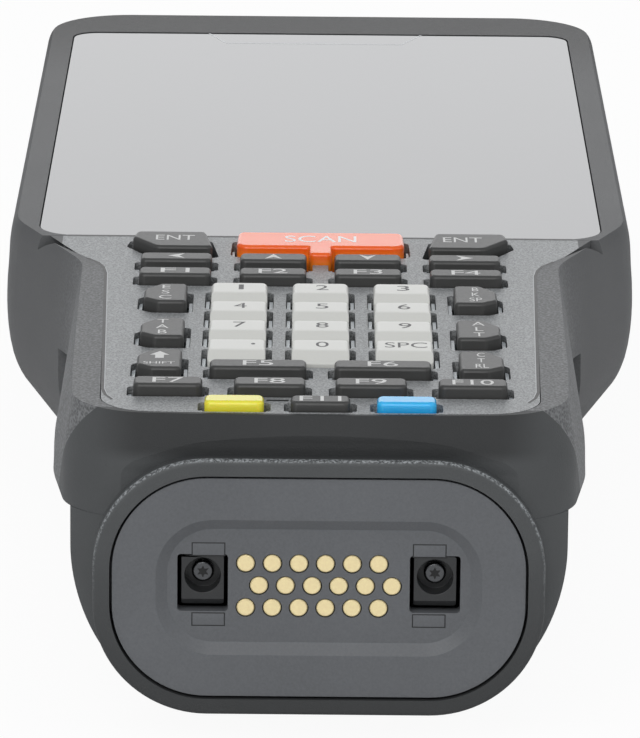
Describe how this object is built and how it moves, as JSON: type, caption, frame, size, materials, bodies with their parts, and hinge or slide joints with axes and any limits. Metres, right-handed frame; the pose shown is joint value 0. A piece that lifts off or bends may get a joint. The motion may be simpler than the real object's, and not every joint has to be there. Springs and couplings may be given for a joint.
{
  "type": "portable barcode data terminal",
  "caption": "Handheld barcode data terminal with a wide touch window, a raised keypad on a narrower handle and a row of dock contacts in its end.",
  "frame": {"origin": "middle of the footprint, on the plane that the terminal rests on when it lies on its back", "axes": "+Z out of the screen, +Y towards the head, +X to the right of someone who reads the screen"},
  "size_m": [0.0792, 0.2171, 0.04],
  "materials": {
    "soft_frame": "matte",
    "plate_grey": "matte",
    "window": "gloss",
    "silicone": "matte",
    "shell": "matte",
    "boot": "matte",
    "panel": "matte",
    "gold": "satin",
    "black_key": "satin",
    "white_key": "satin",
    "orange_key": "gloss",
    "yellow_key": "gloss",
    "blue_key": "gloss",
    "steel": "satin",
    "black_part": "matte",
    "board": "satin",
    "dark_glass": "gloss"
  },
  "bodies": {
    "case": {"front_frame": "soft_frame", "touch_window": "window", "display_module": "black_part", "keypad_plate": "plate_grey", "keypad_mat": "silicone", "main_board": "board", "rear_housing": "shell", "end_cap": "boot", "contact_panel": "panel", "contact_pins": "gold", "screw_sleeves": "black_part", "panel_screws": "steel", "scan_window": "dark_glass", "scan_engine": "black_part", "rear_camera": "black_part", "case_screws": "steel"},
    "battery": {"battery_pack": "shell"},
    "latch": {"battery_latch": "black_part"},
    "trigger_left": {"left_scan_trigger": "orange_key"},
    "trigger_right": {"right_scan_trigger": "orange_key"},
    "power": {"power_button": "black_part"},
    "body_enter_key_left": {"enter_key_left": "black_key"},
    "body_enter_key_right": {"enter_key_right": "black_key"},
    "body_scan_key": {"scan_key": "orange_key"},
    "body_arrow_key_left": {"arrow_key_left": "black_key"},
    "body_arrow_key_up": {"arrow_key_up": "black_key"},
    "body_arrow_key_down": {"arrow_key_down": "black_key"},
    "body_arrow_key_right": {"arrow_key_right": "black_key"},
    "body_f1_key": {"f1_key": "black_key"},
    "body_f2_key": {"f2_key": "black_key"},
    "body_f3_key": {"f3_key": "black_key"},
    "body_f4_key": {"f4_key": "black_key"},
    "body_digit_key_1": {"digit_key_1": "white_key"},
    "body_digit_key_2": {"digit_key_2": "white_key"},
    "body_digit_key_3": {"digit_key_3": "white_key"},
    "body_digit_key_4": {"digit_key_4": "white_key"},
    "body_digit_key_5": {"digit_key_5": "white_key"},
    "body_digit_key_6": {"digit_key_6": "white_key"},
    "body_digit_key_7": {"digit_key_7": "white_key"},
    "body_digit_key_8": {"digit_key_8": "white_key"},
    "body_digit_key_9": {"digit_key_9": "white_key"},
    "body_digit_key_dot": {"digit_key_dot": "white_key"},
    "body_digit_key_0": {"digit_key_0": "white_key"},
    "body_digit_key_space": {"digit_key_space": "white_key"},
    "body_escape_key": {"escape_key": "black_key"},
    "body_tab_key": {"tab_key": "black_key"},
    "body_shift_key": {"shift_key": "black_key"},
    "body_backspace_key": {"backspace_key": "black_key"},
    "body_alt_key": {"alt_key": "black_key"},
    "body_control_key": {"control_key": "black_key"},
    "body_f5_key": {"f5_key": "black_key"},
    "body_f6_key": {"f6_key": "black_key"},
    "body_f7_key": {"f7_key": "black_key"},
    "body_f8_key": {"f8_key": "black_key"},
    "body_f9_key": {"f9_key": "black_key"},
    "body_f10_key": {"f10_key": "black_key"},
    "body_yellow_key": {"yellow_key": "yellow_key"},
    "body_f11_key": {"f11_key": "black_key"},
    "body_blue_key": {"blue_key": "blue_key"}
  },
  "joints": [
    {"name": "battery_lift_off", "type": "slide", "parent": "case", "child": "battery", "axis": [0, 0, -1], "range_m": [0, 0.03]},
    {"name": "battery_latch_slide", "type": "slide", "parent": "case", "child": "latch", "axis": [0, 1, 0], "range_m": [0, 0.0026]},
    {"name": "left_trigger_press", "type": "slide", "parent": "case", "child": "trigger_left", "axis": [1, 0, 0], "range_m": [0, 0.0007], "stiffness_N_per_m": 900, "springref_m": -0.0005},
    {"name": "right_trigger_press", "type": "slide", "parent": "case", "child": "trigger_right", "axis": [-1, 0, 0], "range_m": [0, 0.0007], "stiffness_N_per_m": 900, "springref_m": -0.0005},
    {"name": "power_button_press", "type": "slide", "parent": "case", "child": "power", "axis": [-1, 0, 0], "range_m": [0, 0.0007], "stiffness_N_per_m": 900, "springref_m": -0.0005},
    {"name": "enter_key_left_press", "type": "slide", "parent": "case", "child": "body_enter_key_left", "axis": [0, 0, -1], "range_m": [0, 0.0007], "stiffness_N_per_m": 600, "springref_m": -0.0003},
    {"name": "enter_key_right_press", "type": "slide", "parent": "case", "child": "body_enter_key_right", "axis": [0, 0, -1], "range_m": [0, 0.0007], "stiffness_N_per_m": 600, "springref_m": -0.0003},
    {"name": "scan_key_press", "type": "slide", "parent": "case", "child": "body_scan_key", "axis": [0, 0, -1], "range_m": [0, 0.0007], "stiffness_N_per_m": 600, "springref_m": -0.0003},
    {"name": "arrow_key_left_press", "type": "slide", "parent": "case", "child": "body_arrow_key_left", "axis": [0, 0, -1], "range_m": [0, 0.0007], "stiffness_N_per_m": 600, "springref_m": -0.0003},
    {"name": "arrow_key_up_press", "type": "slide", "parent": "case", "child": "body_arrow_key_up", "axis": [0, 0, -1], "range_m": [0, 0.0007], "stiffness_N_per_m": 600, "springref_m": -0.0003},
    {"name": "arrow_key_down_press", "type": "slide", "parent": "case", "child": "body_arrow_key_down", "axis": [0, 0, -1], "range_m": [0, 0.0007], "stiffness_N_per_m": 600, "springref_m": -0.0003},
    {"name": "arrow_key_right_press", "type": "slide", "parent": "case", "child": "body_arrow_key_right", "axis": [0, 0, -1], "range_m": [0, 0.0007], "stiffness_N_per_m": 600, "springref_m": -0.0003},
    {"name": "f1_key_press", "type": "slide", "parent": "case", "child": "body_f1_key", "axis": [0, 0, -1], "range_m": [0, 0.0007], "stiffness_N_per_m": 600, "springref_m": -0.0003},
    {"name": "f2_key_press", "type": "slide", "parent": "case", "child": "body_f2_key", "axis": [0, 0, -1], "range_m": [0, 0.0007], "stiffness_N_per_m": 600, "springref_m": -0.0003},
    {"name": "f3_key_press", "type": "slide", "parent": "case", "child": "body_f3_key", "axis": [0, 0, -1], "range_m": [0, 0.0007], "stiffness_N_per_m": 600, "springref_m": -0.0003},
    {"name": "f4_key_press", "type": "slide", "parent": "case", "child": "body_f4_key", "axis": [0, 0, -1], "range_m": [0, 0.0007], "stiffness_N_per_m": 600, "springref_m": -0.0003},
    {"name": "digit_key_1_press", "type": "slide", "parent": "case", "child": "body_digit_key_1", "axis": [0, 0, -1], "range_m": [0, 0.0007], "stiffness_N_per_m": 600, "springref_m": -0.0003},
    {"name": "digit_key_2_press", "type": "slide", "parent": "case", "child": "body_digit_key_2", "axis": [0, 0, -1], "range_m": [0, 0.0007], "stiffness_N_per_m": 600, "springref_m": -0.0003},
    {"name": "digit_key_3_press", "type": "slide", "parent": "case", "child": "body_digit_key_3", "axis": [0, 0, -1], "range_m": [0, 0.0007], "stiffness_N_per_m": 600, "springref_m": -0.0003},
    {"name": "digit_key_4_press", "type": "slide", "parent": "case", "child": "body_digit_key_4", "axis": [0, 0, -1], "range_m": [0, 0.0007], "stiffness_N_per_m": 600, "springref_m": -0.0003},
    {"name": "digit_key_5_press", "type": "slide", "parent": "case", "child": "body_digit_key_5", "axis": [0, 0, -1], "range_m": [0, 0.0007], "stiffness_N_per_m": 600, "springref_m": -0.0003},
    {"name": "digit_key_6_press", "type": "slide", "parent": "case", "child": "body_digit_key_6", "axis": [0, 0, -1], "range_m": [0, 0.0007], "stiffness_N_per_m": 600, "springref_m": -0.0003},
    {"name": "digit_key_7_press", "type": "slide", "parent": "case", "child": "body_digit_key_7", "axis": [0, 0, -1], "range_m": [0, 0.0007], "stiffness_N_per_m": 600, "springref_m": -0.0003},
    {"name": "digit_key_8_press", "type": "slide", "parent": "case", "child": "body_digit_key_8", "axis": [0, 0, -1], "range_m": [0, 0.0007], "stiffness_N_per_m": 600, "springref_m": -0.0003},
    {"name": "digit_key_9_press", "type": "slide", "parent": "case", "child": "body_digit_key_9", "axis": [0, 0, -1], "range_m": [0, 0.0007], "stiffness_N_per_m": 600, "springref_m": -0.0003},
    {"name": "digit_key_dot_press", "type": "slide", "parent": "case", "child": "body_digit_key_dot", "axis": [0, 0, -1], "range_m": [0, 0.0007], "stiffness_N_per_m": 600, "springref_m": -0.0003},
    {"name": "digit_key_0_press", "type": "slide", "parent": "case", "child": "body_digit_key_0", "axis": [0, 0, -1], "range_m": [0, 0.0007], "stiffness_N_per_m": 600, "springref_m": -0.0003},
    {"name": "digit_key_space_press", "type": "slide", "parent": "case", "child": "body_digit_key_space", "axis": [0, 0, -1], "range_m": [0, 0.0007], "stiffness_N_per_m": 600, "springref_m": -0.0003},
    {"name": "escape_key_press", "type": "slide", "parent": "case", "child": "body_escape_key", "axis": [0, 0, -1], "range_m": [0, 0.0007], "stiffness_N_per_m": 600, "springref_m": -0.0003},
    {"name": "tab_key_press", "type": "slide", "parent": "case", "child": "body_tab_key", "axis": [0, 0, -1], "range_m": [0, 0.0007], "stiffness_N_per_m": 600, "springref_m": -0.0003},
    {"name": "shift_key_press", "type": "slide", "parent": "case", "child": "body_shift_key", "axis": [0, 0, -1], "range_m": [0, 0.0007], "stiffness_N_per_m": 600, "springref_m": -0.0003},
    {"name": "backspace_key_press", "type": "slide", "parent": "case", "child": "body_backspace_key", "axis": [0, 0, -1], "range_m": [0, 0.0007], "stiffness_N_per_m": 600, "springref_m": -0.0003},
    {"name": "alt_key_press", "type": "slide", "parent": "case", "child": "body_alt_key", "axis": [0, 0, -1], "range_m": [0, 0.0007], "stiffness_N_per_m": 600, "springref_m": -0.0003},
    {"name": "control_key_press", "type": "slide", "parent": "case", "child": "body_control_key", "axis": [0, 0, -1], "range_m": [0, 0.0007], "stiffness_N_per_m": 600, "springref_m": -0.0003},
    {"name": "f5_key_press", "type": "slide", "parent": "case", "child": "body_f5_key", "axis": [0, 0, -1], "range_m": [0, 0.0007], "stiffness_N_per_m": 600, "springref_m": -0.0003},
    {"name": "f6_key_press", "type": "slide", "parent": "case", "child": "body_f6_key", "axis": [0, 0, -1], "range_m": [0, 0.0007], "stiffness_N_per_m": 600, "springref_m": -0.0003},
    {"name": "f7_key_press", "type": "slide", "parent": "case", "child": "body_f7_key", "axis": [0, 0, -1], "range_m": [0, 0.0007], "stiffness_N_per_m": 600, "springref_m": -0.0003},
    {"name": "f8_key_press", "type": "slide", "parent": "case", "child": "body_f8_key", "axis": [0, 0, -1], "range_m": [0, 0.0007], "stiffness_N_per_m": 600, "springref_m": -0.0003},
    {"name": "f9_key_press", "type": "slide", "parent": "case", "child": "body_f9_key", "axis": [0, 0, -1], "range_m": [0, 0.0007], "stiffness_N_per_m": 600, "springref_m": -0.0003},
    {"name": "f10_key_press", "type": "slide", "parent": "case", "child": "body_f10_key", "axis": [0, 0, -1], "range_m": [0, 0.0007], "stiffness_N_per_m": 600, "springref_m": -0.0003},
    {"name": "yellow_key_press", "type": "slide", "parent": "case", "child": "body_yellow_key", "axis": [0, 0, -1], "range_m": [0, 0.0007], "stiffness_N_per_m": 600, "springref_m": -0.0003},
    {"name": "f11_key_press", "type": "slide", "parent": "case", "child": "body_f11_key", "axis": [0, 0, -1], "range_m": [0, 0.0007], "stiffness_N_per_m": 600, "springref_m": -0.0003},
    {"name": "blue_key_press", "type": "slide", "parent": "case", "child": "body_blue_key", "axis": [0, 0, -1], "range_m": [0, 0.0007], "stiffness_N_per_m": 600, "springref_m": -0.0003}
  ]
}
